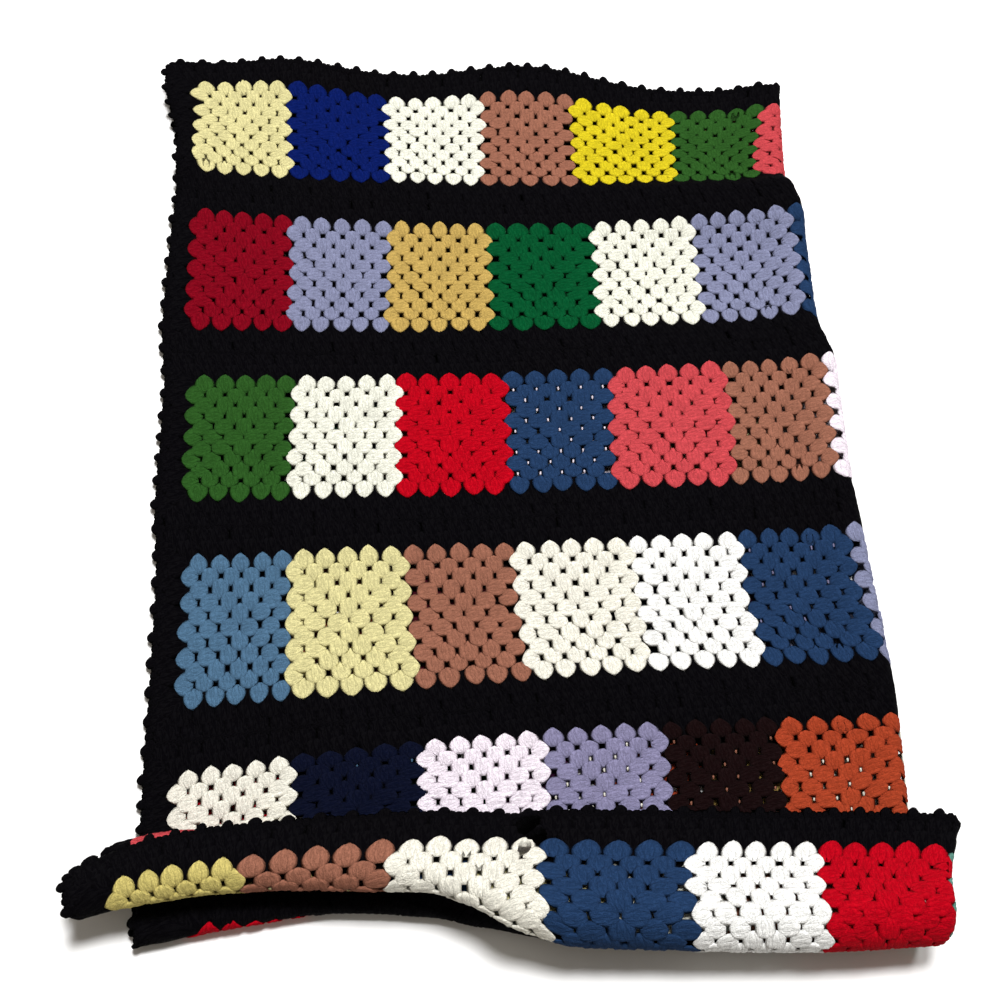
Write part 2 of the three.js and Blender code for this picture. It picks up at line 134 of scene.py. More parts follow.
# The turned end at places from left to right. From the line the cloth turns up through the low turn,
# runs back, turns in the crease, runs forward, turns over the crest and droops along its top. Turns
# are in degrees, and short is how much sooner the inner layer ends.
SECTIONS = [  # x, line, low, low arc, back, crease, crease arc, forward, crest, crest arc, top, droop, short
    (-410, -78, 176, 36, 71, -178, 14, 31, 208, 60, 22, 8, 12),
    (-340, -68, 176, 36, 78, -178, 14, 31, 204, 67, 30, 8, 16),
    (-280, -57, 176, 36, 71, -178, 14, 25, 201, 70, 31, 10, 18),
    (-150, -40, 172, 36, 52, -172, 14, 19, 198, 69, 42, 22, 24),
    (-70, -43, 164, 36, 48, -158, 14, 14, 200, 61, 54, 20, 22),
    (-20, -51, 158, 36, 37, -146, 14, 11, 194, 54, 74, 18, 16),
    (30, -54, 118, 38, 14, -50, 12, 8, 154, 60, 92, 0, 14),
    (75, -54, 96, 45, 8, -8, 9, 8, 132, 70, 82, -14, 14),
    (300, -56, 90, 44, 6, 0, 8, 6, 139, 70, 88, -26, 14),
    (450, -50, 90, 42, 5, 0, 8, 5, 130, 65, 74, -22, 12),
]
# Soft rises of the top layer.
RUMPLES = [  # x, y, reach across, reach far, reach near, height
    (300, 800, 150, 16, 60, 22),
    (-440, 985, 60, 60, 90, 20),
    (-420, 850, 30, 30, 30, 14),
    (-290, 1000, 70, 40, 60, 7),
    (40, 1000, 90, 40, 70, 7),
    (-120, 800, 190, 30, 40, 5),
    (120, 590, 240, 30, 40, 4),
    (-200, 350, 200, 40, 40, 4),
    (200, 175, 230, 30, 45, 5),
]


def ease(t):
    """0 to 1 with a soft start and end."""
    t = np.clip(t, 0.0, 1.0)
    return t * t * (3 - 2 * t)


def lerp(a, b, t):
    return a + (b - a) * t


def through(rows, value):
    """Smooth curve through a table's rows that never overshoots; one array per column."""
    table = np.array(rows, float)
    key, table = table[:, 0], table[:, 1:]
    step = np.diff(key)
    rise = np.diff(table, axis=0) / step[:, None]
    before, after = rise[:-1], rise[1:]
    same = before * after > 0
    total = np.where(same, before + after, 1.0)
    inner = np.where(same, 2 * before * after / total, 0.0)
    slope = np.vstack([rise[:1], inner, rise[-1:]])
    i = np.clip(np.searchsorted(key, value, side="right") - 1, 0, len(step) - 1)
    t = (value - key[i]) / step[i]
    out = []
    for c in range(table.shape[1]):
        a, b = table[i, c], table[i + 1, c]
        sa, sb = slope[i, c] * step[i], slope[i + 1, c] * step[i]
        s = np.clip(t, 0, 1)
        s2, s3 = s * s, s * s * s
        y = a * (2 * s3 - 3 * s2 + 1) + sa * (s3 - 2 * s2 + s) + b * (3 * s2 - 2 * s3) + sb * (s3 - s2)
        out.append(y + np.where(t < 0, sa * t, 0) + np.where(t > 1, sb * (t - 1), 0))
    return out


LIE_ROWS = [(0.0, *FAR_EDGE)] + [
    (strip * STRIP + BAND + (SQUARE_LENGTH if edge == "near" else 0), *rest)
    for strip, edge, *rest in LIE
]
SIDE_ROWS = [
    (along, rim, rim + RIM_STEP, fold, FOLD_ROUND) for along, _, _, _, rim, fold in LIE_ROWS
] + TURNED
LAST_LIE = LIE_ROWS[-1][0]


def top_layer_y(along, x):
    """How far back the top layer is at a place along the flat blanket."""
    left, mid, right, _, _ = through(LIE_ROWS, along)
    t = (x - LIE_LEFT) / (LIE_RIGHT - LIE_LEFT)
    bow = mid - (left + right) / 2
    wave = WAVE_HEIGHT * np.cos(2 * np.pi * (x - WAVE_CREST) / WAVE_LENGTH)
    return lerp(left, right, t) + 4 * bow * t * (1 - t) + wave * ease(1 - along / WAVE_FADE)


def fold_pieces(x, inside):
    """The turned end at x, for cloth that is inside by so much: line, short, turns, lengths, sum."""
    (line, low, low_arc, back, crease, crease_arc,
     forward, crest, crest_arc, top, droop, short) = through(SECTIONS, x)
    zero = np.zeros_like(x)
    turns = [np.radians(low), zero, np.radians(crease), zero, np.radians(crest), np.radians(droop)]
    arcs = [low_arc, back, crease_arc, forward, crest_arc, top]
    lengths = [arc - inside * turn for arc, turn in zip(arcs, turns)]
    return line, short, turns, lengths, sum(lengths)


def walk_fold(line, turns, lengths, inside, distance):
    """Where the cloth has got to a distance past the line: y and z."""
    y, z = line + np.maximum(-distance, 0), THICK / 2 + inside
    heading = np.zeros_like(distance)
    left = np.maximum(distance, 0)
    for i, (turn, length) in enumerate(zip(turns, lengths)):
        go = left if i == len(turns) - 1 else np.minimum(left, length)
        swept = turn * go / length
        half = np.where(np.abs(swept) < 1e-6, 1e-6, swept / 2)
        chord = np.where(np.abs(swept) < 1e-6, go, go * np.sin(half) / half)
        y = y - chord * np.cos(heading + swept / 2)
        z = z + chord * np.sin(heading + swept / 2)
        heading = heading + swept
        left = left - go
    return y, z


def rumple(x, y):
    """How much higher the top layer lies over the rumples."""
    total = np.zeros_like(x)
    for rx, ry, reach, far, near, height in RUMPLES:
        reach_y = np.where(y > ry, far, near)
        total += height * np.exp(-(((x - rx) / reach) ** 2) - ((y - ry) / reach_y) ** 2)
    return total


def cloth(across, along):
    """Middle of the cloth: across is 0-1 top layer, 1-2 round the long fold, 2-3 under layer."""
    rim, outer_rim, fold, radius = through(SIDE_ROWS, along)
    centre = fold - radius
    angle = (np.clip(across, 1, 2) - 1) * np.pi
    bent = (across > 1) & (across < 2)
    top = across <= 1
    t = np.where(top, across, 3 - across)
    shift = np.where(top & (t < RIM_REACH), (rim - outer_rim) * (1 - t / RIM_REACH), 0)
    x = np.where(bent, centre + radius * np.sin(angle), lerp(outer_rim, centre, t) + shift)
    share = np.where(bent, (1 + np.cos(angle)) / 2, np.where(top, 1.0, 0.0))
    swollen = lerp(LAYERS_APART, 2 * radius, ease(1 - (centre - x) / FOLD_SWELL))
    apart = np.where(bent, 2 * radius, swollen)

    # The under layer is the outer one round the turned end, and keeps its own length there.
    line, short, _, _, outer_length = fold_pieces(x, np.zeros_like(x))
    _, _, _, _, inner_length = fold_pieces(x, apart)
    kept = outer_length - (LENGTH - np.maximum(along, LAST_LIE))
    far_y = top_layer_y(np.zeros_like(along), x) - FAR_EDGE_STEP
    flat = line - lerp(far_y, line - kept, along / LAST_LIE)
    outer = np.where(along >= LAST_LIE, kept, flat)
    start = line - top_layer_y(np.full_like(along, LAST_LIE), x)
    over = lerp(start, inner_length - short, (along - LAST_LIE) / (LENGTH - LAST_LIE))
    inner = np.where(along <= LAST_LIE, line - top_layer_y(along, x), over)

    distance = lerp(outer, inner, share)
    inside = apart * share
    line, _, turns, lengths, _ = fold_pieces(x, inside)
    y, z = walk_fold(line, turns, lengths, inside, distance)
    lift = share * rumple(x, y) * ease(-distance / RUMPLE_FADE)
    return np.stack([x, y, z + lift], -1)


# ---- a fine chart of the cloth, to lay the stitches on, closer along the turned end ---------------
CHART_TURN = 960.0
CHART_ACROSS = np.concatenate(
    [np.linspace(0, 1, 221), np.linspace(1, 2, 17)[1:], np.linspace(2, 3, 221)[1:]]
)
CHART_ALONG = np.concatenate(
    [np.linspace(0, CHART_TURN, 241), np.linspace(CHART_TURN, LENGTH, 211)[1:]]
)
CHART = cloth(*np.meshgrid(CHART_ACROSS, CHART_ALONG, indexing="ij"))
NORMALS = np.cross(np.gradient(CHART, axis=1), np.gradient(CHART, axis=0))
NORMALS /= np.linalg.norm(NORMALS, axis=-1, keepdims=True)


def across_of(u, v):
    """The chart's 0 to 3 for a flat place: the long fold takes up its width as it goes."""
    radius = through(SIDE_ROWS, np.clip(v, 0, LENGTH))[3]
    top_end = lerp(TOP_WIDTH, OVER_WIDTH, ease((v - TURN_FROM) / (TURN_TO - TURN_FROM)))
    under_start = top_end + np.pi * radius
    on_top, round_it = u / top_end, 1 + (u - top_end) / (under_start - top_end)
    under = 2 + (u - under_start) / (WIDTH - under_start)
    return np.where(u <= top_end, on_top, np.where(u < under_start, round_it, under))


def slipped(u, v):
    """Where a flat place of the blanket has moved to by slipping and sagging."""
    keys, *columns = zip(*SLIPS)
    slips = np.array([np.zeros_like(u)] + [np.interp(v, keys, column) for column in columns])
    i = np.clip(np.searchsorted(SLIP_AT, u, side="right") - 1, 0, len(SLIP_AT) - 2)
    stations, each = np.array(SLIP_AT), np.arange(len(u))
    t = np.clip((u - stations[i]) / (stations[i + 1] - stations[i]), 0, 1)

    keys, *columns = zip(*CREEPS)
    left, middle, right = [np.interp(v, keys, column) for column in columns]
    share = u / TOP_WIDTH
    on_left, on_right = lerp(left, middle, 2 * share), lerp(middle, right, 2 * share - 1)
    past = right * ease((1 + CREEP_FADE - share) / CREEP_FADE)
    creep = np.where(share > 1, past, np.where(share < 0.5, on_left, on_right))
    open_side = ease((u - SAG_FROM) / (SAG_FULL - SAG_FROM))
    sag = SAG * np.exp(-(((v - SAG_ALONG) / SAG_REACH) ** 2)) * open_side
    return u + lerp(slips[i, each], slips[i + 1, each], t), v + sag + creep


def lay(u, v, height):
    """Points over flat places u, v at a height on the right side of the cloth."""
    u, along = slipped(u, v)
    across = across_of(u, along)
    i = np.clip(np.searchsorted(CHART_ACROSS, across, side="right") - 1, 0, len(CHART_ACROSS) - 2)
    j = np.clip(np.searchsorted(CHART_ALONG, along, side="right") - 1, 0, len(CHART_ALONG) - 2)
    s = ((across - CHART_ACROSS[i]) / (CHART_ACROSS[i + 1] - CHART_ACROSS[i]))[:, None]
    t = ((along - CHART_ALONG[j]) / (CHART_ALONG[j + 1] - CHART_ALONG[j]))[:, None]

    def mix(chart):
        return (
            chart[i, j] * (1 - s) * (1 - t) + chart[i + 1, j] * s * (1 - t)
            + chart[i, j + 1] * (1 - s) * t + chart[i + 1, j + 1] * s * t
        )

    normal = mix(NORMALS)
    normal /= np.linalg.norm(normal, axis=-1, keepdims=True)
    return mix(CHART) + normal * height[:, None]


# ---- yarns and the chart of the squares -----------------------------------------------------------
YARNS = {  # red, green, blue as they look, 0-255
    "black": (4, 3, 6),
    "pale_yellow": (216, 208, 151),
    "royal": (4, 23, 90),
    "white": (233, 233, 219),
    "snow": (247, 247, 244),
    "cream": (237, 234, 221),
    "rose_brown": (150, 99, 80),
    "yellow": (210, 191, 31),
    "leaf": (41, 83, 31),
    "coral": (194, 69, 75),
    "crimson": (124, 2, 23),
    "lavender": (129, 133, 163),
    "gold": (188, 158, 87),
    "emerald": (1, 76, 39),
    "denim": (32, 56, 91),
    "red": (180, 1, 23),
    "steel": (76, 109, 138),
    "navy": (8, 13, 34),
    "lilac_white": (242, 231, 242),
    "lilac": (134, 130, 163),
    "dark_brown": (21, 7, 8),
    "rust": (164, 64, 37),
    "straw": (203, 188, 112),
    "teal": (92, 140, 128),
    "wine": (74, 12, 30),
    "forest": (12, 44, 26),
    "plum": (58, 20, 52),
}
# One entry per strip, from the blanket's open side. The sign between two squares points away from
# the one whose last round of shells lies over the other.
SQUARES = [
    "pale_yellow > royal < white > rose_brown < yellow > leaf < coral > "
    "forest < dark_brown > wine < navy > navy < rose_brown",
    "crimson < lavender < gold > emerald < white > lavender > denim < "
    "navy > forest < forest > dark_brown > plum > wine",
    "leaf < white > red > denim < coral > rose_brown > lilac_white > "
    "pale_yellow > lilac_white > white > red < forest > navy",
    "steel < pale_yellow > rose_brown < cream > snow > denim > lavender > "
    "plum < navy > dark_brown < wine > rust < navy",
    "cream > navy < lilac_white > lilac > dark_brown < rust < cream < "
    "gold > rust > plum < forest > navy < red",
    "coral < straw > denim < pale_yellow > white > rose_brown < teal < "
    "red < snow > denim < cream > rose_brown < straw",
]

# Squares whose holes show the yarn beneath: strip, square, then that yarn and the share of holes.
THROUGH = {
    (2, 3): ("lilac_white", 0.7),
    (3, 5): ("lilac", 0.3),
    (4, 1): ("steel", 0.2),
    (4, 3): ("cream", 0.4),
    (4, 4): ("rose_brown", 0.45),
    (4, 5): ("cream", 0.35),
    (5, 11): ("pale_yellow", 0.2),
}
# Softer yarns fill the spaces between their shells, which are this many times as wide.
FLUFF = {
    "red": 1.1, "royal": 1.11, "crimson": 1.08, "emerald": 1.07, "leaf": 1.07, "navy": 1.08,
    "pale_yellow": 1.04, "coral": 1.05, "denim": 1.03, "black": 1.05,
}

# ---- one shell: three posts fanning out of one space, and the loops on their tops -----------------
# A shell's rows go from its space to its tip. A row's place and half width are in shells, and its
# heights over the middle of the cloth are in millimetres.
POSTS = 3
RIDGE_POWER = 0.7       # under 1, so that a post's ridge is fuller than a wave


def pad(rows, columns, bow=0.08, side=0.7):
    """A closed pad over rows of place, half width, ridge height and valley height.

    columns are the places across, -1 to 1; the posts' ridges stand at -2/3, 0 and 2/3. side is
    the most that the pad's sides stand above the middle of the cloth, and bow is how far they
    stay behind the tip.
    """
    points, coords, faces = [], [], []
    n, m = len(rows), len(columns)
    first, last = rows[0][0], rows[-1][0]
    for place, wide, ridge, valley in rows:
        f = (place - first) / (last - first)
        for q in columns:
            post = (0.5 + 0.5 * math.cos(POSTS * math.pi * q)) ** RIDGE_POWER
            height = min(valley, side) if abs(q) == 1 else lerp(valley, ridge, post)
            points.append((place - bow * f * q * q, q * wide, height))
            coords.append(((q + 1) * (POSTS / 2), f))
    for start in range(0, (n - 1) * m, m):
        for a in range(start, start + m - 1):
            faces.append((a, a + m, a + m + 1, a + 1))
        faces.append((start, start + m - 1, start + 2 * m - 1, start + m))
    faces.append(tuple(range(m)))
    faces.append(tuple(reversed(range((n - 1) * m, n * m))))
    return points, faces, coords


FINE = (-1, -0.72, -0.5, -0.3, -0.1, 0.1, 0.3, 0.5, 0.72, 1)
COARSE = (-1, -0.67, 0, 0.67, 1)
# Ridges, then valleys, of a shell's rows from its space to its tip: the loops are the sixth.
HEIGHTS = (
    (0.2, 1.7, 2.3, 2.5, 2.2, 2.9, 2.3, 0.2),
    (0.0, 1.1, 1.6, 1.7, 1.4, 2.3, 1.8, 0.0),
)
TOOTH_HEIGHTS = (
    (0.2, 1.9, 2.5, 2.7, 2.5, 3.0, 2.6, 1.5),
    (0.0, 1.2, 1.8, 1.9, 1.7, 2.5, 2.2, 1.4),
)
BLACK_HEIGHTS = (
    (0.5, 0.9, 1.2, 1.6, 2.2, 2.6, 2.4, 0.9),
    (0.4, 0.7, 0.9, 1.2, 1.6, 2.1, 1.9, 0.7),
)
BAND_HEIGHTS = (
    (0.5, 1.6, 2.1, 2.2, 2.1, 2.4, 2.2, 1.2),
    (0.4, 1.2, 1.6, 1.7, 1.6, 2.0, 1.9, 1.0),
)
PLAIN_ROWS, PLAIN_HEIGHTS = (0, 2, 5, 7), ((1, 2.5, 2.9, 0.6), (0.8, 1.6, 2.0, 0.4))

OUTLINES = {  # the places of the rows, then their half widths
    "along": (
        (0.10, 0.21, 0.36, 0.50, 0.63, 0.75, 0.85, 0.91),
        (0.20, 0.34, 0.43, 0.43, 0.44, 0.43, 0.35, 0.22),
    ),
    "tooth": (
        (0.10, 0.22, 0.36, 0.48, 0.59, 0.70, 0.81, 0.89),
        (0.20, 0.38, 0.46, 0.48, 0.45, 0.39, 0.28, 0.14),
    ),
    "foot": (
        (0.10, 0.22, 0.36, 0.49, 0.61, 0.72, 0.83, 0.92),
        (0.20, 0.38, 0.46, 0.48, 0.45, 0.39, 0.29, 0.15),
    ),
    "across": (
        (0.05, 0.18, 0.34, 0.50, 0.64, 0.78, 0.89, 0.96),
        (0.18, 0.31, 0.39, 0.39, 0.39, 0.36, 0.28, 0.17),
    ),
    "over": (
        (0.04, 0.17, 0.31, 0.43, 0.54, 0.65, 0.76, 0.84),
        (0.15, 0.30, 0.42, 0.46, 0.44, 0.38, 0.28, 0.15),
    ),
    "short": (
        (0.10, 0.20, 0.34, 0.47, 0.58, 0.68, 0.76, 0.82),
        (0.20, 0.34, 0.43, 0.43, 0.43, 0.40, 0.32, 0.18),
    ),
    "black": (
        (-0.25, -0.08, 0.12, 0.30, 0.48, 0.66, 0.82, 0.94),
        (0.10, 0.22, 0.34, 0.46, 0.53, 0.54, 0.50, 0.36),
    ),
    "band": (
        (-0.05, 0.12, 0.28, 0.44, 0.58, 0.72, 0.84, 0.95),
        (0.25, 0.42, 0.53, 0.54, 0.54, 0.54, 0.53, 0.50),
    ),
    "end": (
        (0.00, 0.12, 0.22, 0.33, 0.43, 0.52, 0.60, 0.66),
        (0.25, 0.40, 0.50, 0.53, 0.54, 0.54, 0.52, 0.46),
    ),
}
RELIEF = {  # the shells whose relief differs: heights, side
    "tooth": (TOOTH_HEIGHTS, 1.3),
    "foot": (TOOTH_HEIGHTS, 1.3),
    "over": (TOOTH_HEIGHTS, 1.3),
    "black": (BLACK_HEIGHTS, 0.1),
    "band": (BAND_HEIGHTS, 0.6),
    "end": (BAND_HEIGHTS, 0.6),
}


def fine_pad(outline, heights=HEIGHTS, side=0.7):
    """A shell from its outline."""
    return pad(list(zip(*outline, *heights)), FINE, side=side)


def plain_pad(outline):
    """The same shell with few faces, for the layer on the floor."""
    picked = [[values[row] for row in PLAIN_ROWS] for values in outline]
    return pad(list(zip(*picked, *PLAIN_HEIGHTS)), COARSE)


TEMPLATES = {name: fine_pad(outline, *RELIEF.get(name, ())) for name, outline in OUTLINES.items()}
TEMPLATES.update({name + "_plain": plain_pad(outline) for name, outline in OUTLINES.items()})
# A small stitch of the joins and of the edging's foot.
TEMPLATES["bead"] = pad(
    [(-0.17, 0.12, 0.4, 0.4), (-0.06, 0.20, 2.6, 2.6), (0.06, 0.20, 2.6, 2.6), (0.17, 0.12, 0.4, 0.4)],
    (-1, -0.3, 0.3, 1), bow=0,
)
# A round picot on its short foot.
TEMPLATES["picot"] = pad(
    [(-0.14, 0.14, 1.5, 1.2), (0.02, 0.17, 2.6, 2.2), (0.16, 0.22, 3.6, 3.2),
     (0.31, 0.21, 3.4, 3.0), (0.42, 0.12, 1.2, 1.0)],
    (-1, -0.6, -0.2, 0.2, 0.6, 1), bow=0.04, side=0.4,
)
# A bit of the under layer's yarn pressed up into a hole.
TEMPLATES["dot"] = pad(
    [(-0.08, 0.03, 0.6, 0.6), (-0.04, 0.055, 1.6, 1.6), (0.04, 0.055, 1.6, 1.6), (0.08, 0.03, 0.6, 0.6)],
    (-1, 0, 1), bow=0,
)

# ---- where the shells go: u, v, the way they point and their template ------------------------------
rng = np.random.default_rng(7)


def square_shells(centre_u, centre_v, left, right):
    """One square's shells. left and right tell if its last round lies over its neighbour's there."""
    out = []
    for nth in range(1, ROUNDS + 1):
        away = (nth - 1) / 2
        last = nth == ROUNDS
        for i in range(nth):
            side = i - away
            inner = "short" if nth == ROUNDS - 1 else "along"
            out.append((side, -away, (0, -1), "tooth" if last else inner))
            out.append((side, away, (0, 1), "foot" if last else inner))
            if right or not last:
                out.append((away, side, (1, 0), "over" if last else "across"))
            if left or not last:
                out.append((-away, side, (-1, 0), "over" if last else "across"))
    return [(centre_u + a * PITCH_U, centre_v + b * PITCH_V, way, kind) for a, b, way, kind in out]


def showing_through(centre_u, centre_v, share):
    """Dots in some of a square's holes: the centre, and each corner between four shells."""
    halves = range(1 - ROUNDS, ROUNDS)
    places = [(i / 2, j / 2) for i in halves for j in halves if (i + j) % 2 == 0]
    kept = [place for place in places if rng.random() < share]
    return [(centre_u + a * PITCH_U, centre_v + b * PITCH_V, (0, 1), "dot") for a, b in kept]


def black_shells(strip):
    """The two black rounds about a strip's squares, the second half a shell further out."""
    middle, half = (strip + 0.5) * STRIP, ROUNDS / 2
    between_ends = WIDTH - 2 * SIDE_BAND - ROUNDS * PITCH_U
    out = []
    for wider, kind, end_kind in ((0.0, "black", "black"), (0.5, "band", "end")):
        away = half + wider
        for side in (-1, 1):
            row = middle + side * away * PITCH_V
            for i in range(ROUNDS * COLUMNS + int(2 * wider) + 1):
                out.append((SIDE_BAND + (i - wider) * PITCH_U, row, (0, side), kind))
            end = SIDE_BAND + half * PITCH_U + side * away * PITCH_U + between_ends * (side > 0)
            for i in range(int(2 * away) + 1):
                out.append((end, middle + (i - away) * PITCH_V, (side, 0), end_kind))
    return out


def joining_beads(strip):
    """The joining rows along a strip's two edges, every other stitch of which is its own."""
    out = []
    for edge, start in ((strip * STRIP, 0.0), ((strip + 1) * STRIP, 0.5)):
        if 0 < edge < LENGTH:
            for i in range(int(WIDTH / BEAD_PITCH / 2)):
                out.append(((2 * (i + start) + 0.5) * BEAD_PITCH, edge, (1, 0), "bead"))
    return out


UNTURNED = 4                  # strips that lie flat, with their under layer on the floor
PLAIN_FROM = TOP_WIDTH + 60   # past the long fold, where the plain shells of the under layer begin


def strip_shells(strip):
    """All the shells of a strip, each with its yarn."""
    chart = SQUARES[strip].split()
    colours, signs = chart[::2], ["<"] + chart[1::2] + [">"]
    middle = (strip + 0.5) * STRIP
    shells = []
    for column, yarn in enumerate(colours):
        centre = SIDE_BAND + (column + 0.5) * COLUMN
        left, right = signs[column] == "<", signs[column + 1] == ">"
        shells += [(*place, yarn) for place in square_shells(centre, middle, left, right)]
        if (strip, column) in THROUGH:
            seen, share = THROUGH[strip, column]
            shells += [(*place, seen) for place in showing_through(centre, middle, share)]
    shells += [(*place, "black") for place in black_shells(strip)]
    if strip < UNTURNED:
        shells = [
            (u, v, way, kind + "_plain" if u > PLAIN_FROM else kind, yarn)
            for u, v, way, kind, yarn in shells
        ]
    return shells + [(*place, "black") for place in joining_beads(strip)]


def spaced(length, pitch):
    """Even places along a length, about a pitch apart."""
    count = round(length / pitch)
    return [(i + 0.5) * length / count for i in range(count)]


BEADS_OUT = 0.5               # how far outside the blanket's edge its small stitches run


def edging_shells():
    """A picot for each shell round the blanket, over a row of small stitches."""
    out = []
    for u in spaced(WIDTH, PITCH_U):
        out += [(u, 0.0, (0, -1), "picot"), (u, LENGTH, (0, 1), "picot")]
    for v in spaced(LENGTH, PITCH_V):
        out += [(0.0, v, (-1, 0), "picot"), (WIDTH, v, (1, 0), "picot")]
    for u in spaced(WIDTH, BEAD_PITCH):
        out += [(u, -BEADS_OUT, (1, 0), "bead"), (u, LENGTH + BEADS_OUT, (1, 0), "bead")]
    for v in spaced(LENGTH, BEAD_PITCH):
        out += [(-BEADS_OUT, v, (0, 1), "bead"), (WIDTH + BEADS_OUT, v, (0, 1), "bead")]
    return [(*place, "black") for place in out]


# ---- materials --------------------------------------------------------------------------------------


def linear(value):
    """A colour value of 0 to 255 as the renderer's light."""
    c = value / 255
    return c / 12.92 if c <= 0.04045 else ((c + 0.055) / 1.055) ** 2.4


def shader_node(tree, kind, inputs=(), **settings):
    """A new shader node; an input is a value or the output that it is linked to."""
    made = tree.nodes.new("ShaderNode" + kind)
    for name, value in settings.items():
        setattr(made, name, value)
    for name, value in dict(inputs).items():
        if isinstance(value, bpy.types.NodeSocket):
            tree.links.new(value, made.inputs[name])
        else:
            made.inputs[name].default_value = value
    return made


def remapped(tree, value, source, target, **settings):
    """A value taken from one range to another."""
    ranges = dict(zip(("From Min", "From Max", "To Min", "To Max"), (*source, *target)))
    return shader_node(tree, "MapRange", {**ranges, "Value": value}, **settings).outputs["Result"]


def multiplied(tree, colour, by, factor=1.0):
    """A colour darkened by a value."""
    inputs = {"Factor": factor, "A": colour, "B": by}
    mixed = shader_node(tree, "Mix", inputs, data_type="RGBA", blend_type="MULTIPLY")
    return mixed.outputs["Result"]


def bumped(tree, height, strength, distance, **more):
    """A normal from a height."""
    inputs = {"Height": height, "Strength": strength, "Distance": distance, **more}
    return shader_node(tree, "Bump", inputs).outputs["Normal"]


def yarn_material(name):
    """Soft yarn of one colour, with its strands, its curls of fibre, its changes of tone along the yarn and
    painted shade in the grooves between its posts.
    """
    made = bpy.data.materials.get("yarn_" + name)
    if made:
        return made
    colour = [linear(c) for c in YARNS[name]]
    mat = bpy.data.materials.new("yarn_" + name)
    mat.use_nodes = True
    mat.diffuse_color = (*colour, 1)
    tree = mat.node_tree
    surface = tree.nodes["Principled BSDF"].inputs
    surface["Roughness"].default_value = 0.95
    surface["Specular IOR Level"].default_value = 0.03
    surface["Sheen Weight"].default_value = 0.0 if name == "black" else 0.02
    surface["Sheen Roughness"].default_value = 0.5
    surface["Sheen Tint"].default_value = (*[min(1, c * 0.8 + 0.2) for c in colour], 1)

    places = shader_node(tree, "TexCoord").outputs
    # strands of the yarn, slanting and curling along the stitches
    ply = shader_node(
        tree, "TexWave",
        {"Vector": places["UV"], "Scale": 1.0, "Distortion": 9, "Detail": 2, "Detail Scale": 2.6},
        wave_type="BANDS", bands_direction="DIAGONAL",
    ).outputs["Fac"]
    strands = shader_node(
        tree, "Mix",
        {"Factor": ply,
         "A": (*[c * 0.86 for c in colour], 1),
         "B": (*[min(1, c * 1.08 + 0.002) for c in colour], 1)},
        data_type="RGBA",
    ).outputs["Result"]

    # slow change of shade along the ball of yarn
    shade = shader_node(tree, "TexNoise", {"Vector": places["Object"], "Scale": 60, "Detail": 2})
    tone = remapped(tree, shade.outputs["Fac"], (0.3, 0.7), (0.65, 1.0))
    toned = multiplied(tree, strands, tone, 0.35)

    # curls of the loops, with darker spaces between them
    fibre = shader_node(
        tree, "TexNoise",
        {"Vector": places["Object"], "Scale": 330, "Detail": 2, "Distortion": 2.5},
    ).outputs["Fac"]
    mottled = multiplied(tree, toned, remapped(tree, fibre, (0.36, 0.56), (0.72, 1.0)))

    # painted shade: the colour is darkened in the grooves between the posts and along the shells' sides,
    # where shade falls
    split = shader_node(tree, "SeparateXYZ", {"Vector": places["UV"]})
    groove = shader_node(tree, "Math", {0: split.outputs["X"], 1: 0.5}, operation="PINGPONG")
    painted_groove_shade = remapped(
        tree, groove.outputs["Value"], (0.0, 0.16), (0.86, 1.0), interpolation_type="SMOOTHSTEP"
    )
    # the painted groove shade goes into the base colour
    tree.links.new(multiplied(tree, mottled, painted_groove_shade), surface["Base Color"])

    rounded = bumped(tree, ply, 0.45, 0.0008)
    tree.links.new(bumped(tree, fibre, 0.8, 0.0012, Normal=rounded), surface["Normal"])
    return mat


# ---- pieces -----------------------------------------------------------------------------------------
# Where the middle of the solids' box is in the tables: the solids were moved so that it is over zero.
OFFSET = np.array([7.340, 466.400, 0.0])
FLOOR_GAP = 0.0002        # the least height of a point, in metres
# How uneven the shells are: their turn in radians, their sideways shift in shells, and their size.
TURN, SHIFT, UNEVEN_SIZE, UNEVEN_HEIGHT = 0.05, 0.018, 0.03, 0.07
FULL_HEIGHT = 2.0         # the height that a softer yarn's relief evens out to


def laid_shells(points, shells):
    """The points of shells of one kind laid on the cloth, each shell a little uneven."""
    p, n = np.array(points), len(shells)
    u, v = [np.array([shell[axis] for shell in shells])[:, None] for axis in (0, 1)]
    way = np.array([shell[2] for shell in shells], float)
    fluff = np.array([FLUFF.get(shell[4], 1.0) for shell in shells])[:, None]

    turn = rng.normal(0, TURN, n)
    c, d = np.cos(turn), np.sin(turn)
    way = np.stack([way[:, 0] * c - way[:, 1] * d, way[:, 0] * d + way[:, 1] * c], -1)
    aside = p[None, :, 1] * fluff * (1 + rng.normal(0, UNEVEN_SIZE, n))[:, None]
    aside = aside + (rng.normal(0, SHIFT, n))[:, None]
    ahead = (0.5 + (p[None, :, 0] - 0.5) * fluff) * (1 + rng.normal(0, UNEVEN_SIZE, n))[:, None]
    height = lerp(p[None, :, 2], FULL_HEIGHT, 2 * (fluff - 1))
    height = height * (1 + rng.normal(0, UNEVEN_HEIGHT, n))[:, None]

    a = ahead * way[:, :1] - aside * way[:, 1:]
    b = ahead * way[:, 1:] + aside * way[:, :1]
    return lay((u + a * PITCH_U).ravel(), (v + b * PITCH_V).ravel(), height.ravel())


